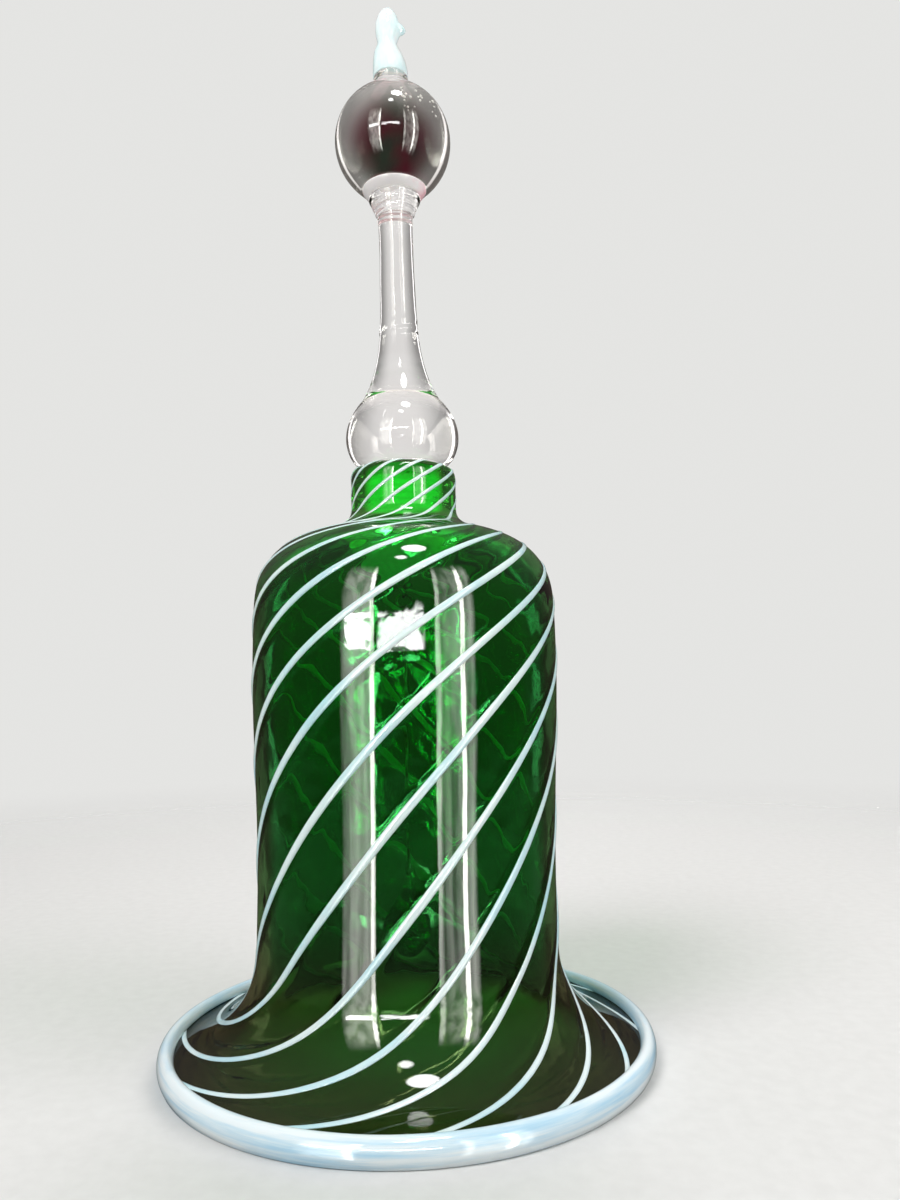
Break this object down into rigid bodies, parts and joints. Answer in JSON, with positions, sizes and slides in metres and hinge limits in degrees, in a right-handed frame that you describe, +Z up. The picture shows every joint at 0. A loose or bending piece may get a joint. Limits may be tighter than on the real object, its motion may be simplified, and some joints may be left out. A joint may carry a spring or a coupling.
{
  "type": "glass hand bell",
  "caption": "Blown glass hand bell with a flared mouth, spiral opal threads, an opal rim, a clear knopped handle and a hanging clapper.",
  "frame": {"origin": "centre of the ring on which the rim stands", "axes": "+Z up along the bell's axis from mouth to finial, +X towards the side the finial's beak points to, -Y towards the front"},
  "size_m": [0.143, 0.143, 0.3296],
  "materials": {
    "green_glass": "clear deep bottle green, fire polished",
    "opal_thread": "opal white with a blue cast, glossy",
    "opal_rim": "opal white with blue streaks, glossy",
    "plaster": "matt white plaster of Paris",
    "clear_glass": "colourless, fire polished",
    "opal_seat": "opal white with a pink edge",
    "opal_finial": "opal white with a blue tint, glossy",
    "wire": "dull iron wire",
    "clapper_glass": "deep bottle green, fire polished"
  },
  "bodies": {
    "bell": {"bell_shell": "green_glass", "opal_trails": "opal_thread", "rim_wrap": "opal_rim", "neck_plaster": "plaster", "handle_stem": "clear_glass", "ball_seat": "opal_seat", "ball_knop": "clear_glass", "finial_collar": "clear_glass", "finial": "opal_finial", "hanger_eye": "wire"},
    "link": {"clapper_link": "wire"},
    "clapper": {"clapper_wire": "wire", "clapper_drop": "clapper_glass"}
  },
  "joints": [
    {"name": "link_sway", "type": "hinge", "parent": "bell", "child": "link", "pos_m": [0, 0, 0.138], "axis": [1, 0, 0], "range_deg": [-5, 5]},
    {"name": "clapper_swing", "type": "hinge", "parent": "link", "child": "clapper", "pos_m": [0, 0, 0.13435], "axis": [0, 1, 0], "range_deg": [-19, 19]}
  ]
}
